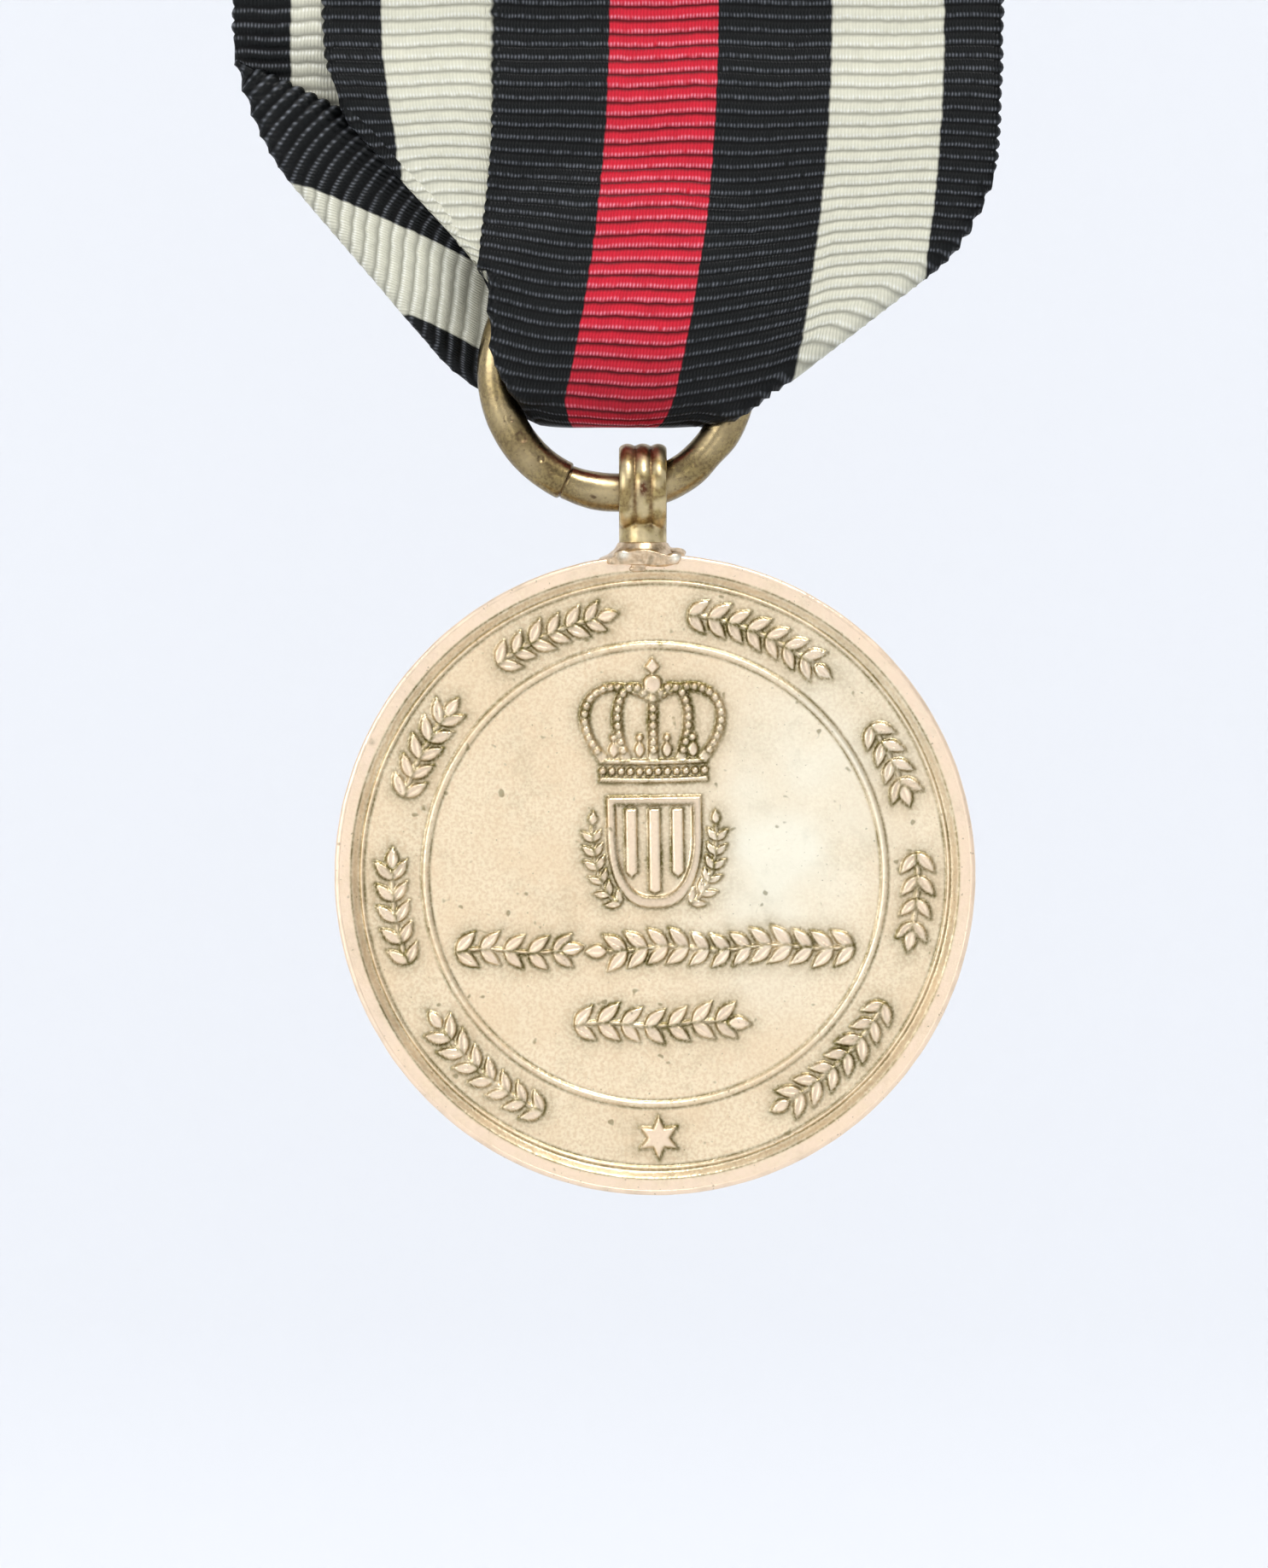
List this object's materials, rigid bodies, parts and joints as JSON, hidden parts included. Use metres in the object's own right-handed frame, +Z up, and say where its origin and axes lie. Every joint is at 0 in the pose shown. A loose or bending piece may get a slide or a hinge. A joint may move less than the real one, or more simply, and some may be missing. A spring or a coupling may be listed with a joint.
{
  "type": "commemorative medal",
  "caption": "Round struck bronze medal with a soldered lug, hanging by a wire ring from a folded striped ribbon.",
  "frame": {"origin": "on the cut top edge of the ribbon, straight above the disc's centre", "axes": "+Z up along the ribbon as the medal hangs, -Y out of the medal's front face, +X to the right as seen from the front"},
  "size_m": [0.0345, 0.0042, 0.0785],
  "materials": {
    "ribbon": "ribbed woven silk with black, white and red stripes",
    "ring_brass": "dark olive-brown worn brass wire",
    "disc_bronze": "light pinkish bronze with dark patina round the relief",
    "lug_brass": "dark olive-brown worn brass",
    "solder": "bright pale solder with brown edges"
  },
  "bodies": {
    "ribbon": {"ribbon": "ribbon"},
    "ring": {"ring": "ring_brass"},
    "medal": {"disc": "disc_bronze", "lug": "lug_brass", "lug_solder": "solder"}
  },
  "joints": [
    {"name": "ring_turn", "type": "hinge", "parent": "ribbon", "child": "ring", "pos_m": [-0.00171, 0, -0.04121], "axis": [0, -1, 0], "range_deg": [-35, 10]},
    {"name": "disc_swing", "type": "hinge", "parent": "ring", "child": "medal", "pos_m": [-0.00055, 0, -0.04645], "axis": [1, 0, 0], "range_deg": [-100, 100]}
  ]
}
